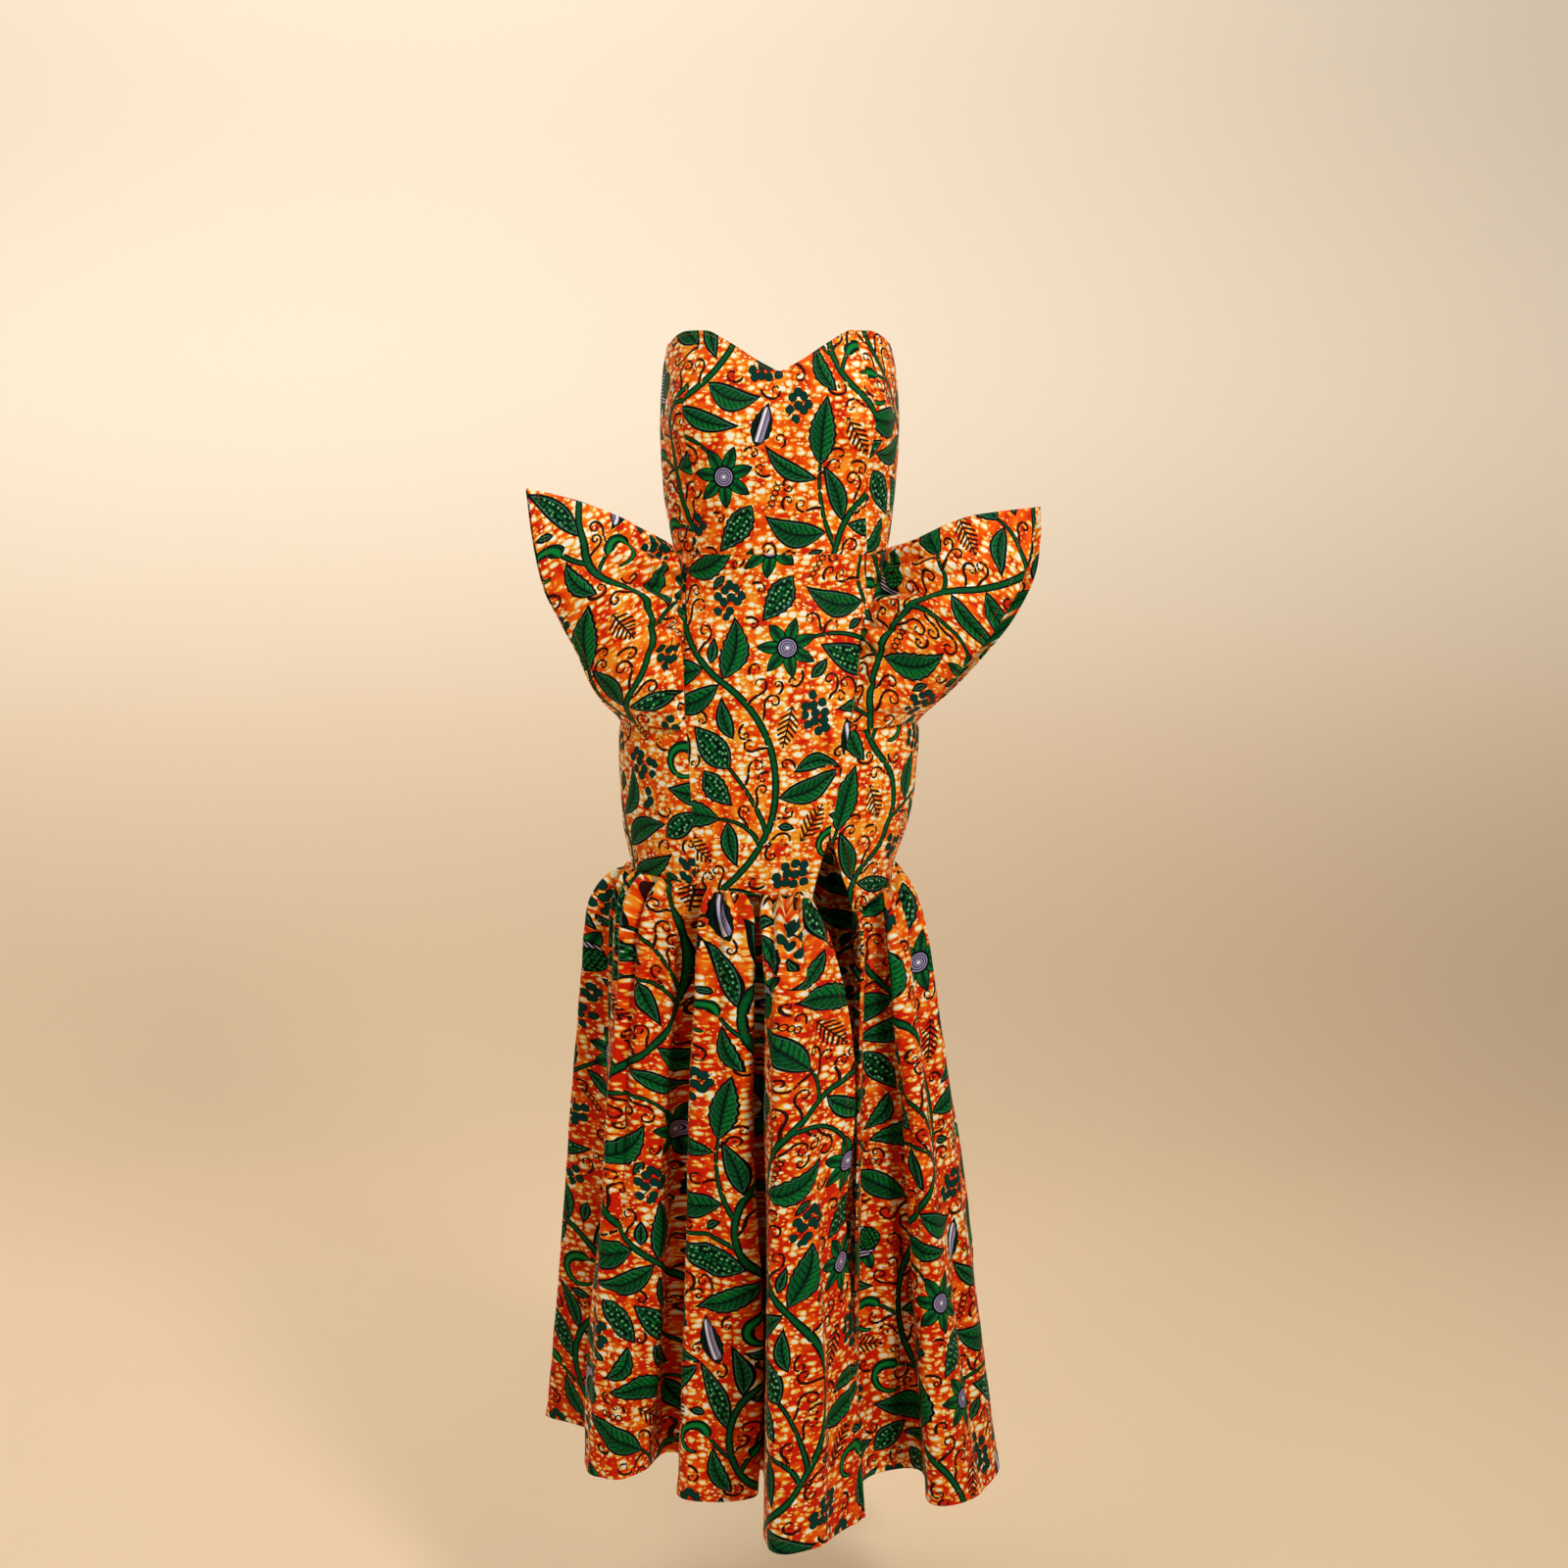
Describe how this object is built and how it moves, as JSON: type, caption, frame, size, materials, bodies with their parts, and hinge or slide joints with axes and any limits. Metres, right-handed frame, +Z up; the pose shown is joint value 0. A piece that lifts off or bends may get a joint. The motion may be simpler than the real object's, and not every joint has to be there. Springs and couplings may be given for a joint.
{
  "type": "strapless ankara dress",
  "caption": "Strapless fitted dress in printed cotton, worn form, with a sweetheart edge, folded hip wings and a gathered flounce with a slit.",
  "frame": {"origin": "middle of the body at bust height, where the wearer holds the dress up", "axes": "+Z up along the wearer, the front faces -Y, +X to the wearer's left"},
  "size_m": [0.5927, 0.606, 1.3423],
  "materials": {
    "wax_print": "printed cotton, slight sheen"
  },
  "bodies": {
    "root": {"bodice_front": "wax_print", "bodice_side_right": "wax_print", "bodice_side_left": "wax_print", "bodice_back_right": "wax_print", "bodice_back_left": "wax_print", "hip_front": "wax_print", "hip_side_right": "wax_print", "hip_side_left": "wax_print", "hip_back_right": "wax_print", "hip_back_left": "wax_print", "wing_right": "wax_print", "wing_left": "wax_print", "flounce_front": "wax_print", "flounce_side_front": "wax_print", "flounce_back_right": "wax_print", "flounce_back_left": "wax_print"}
  },
  "joints": []
}
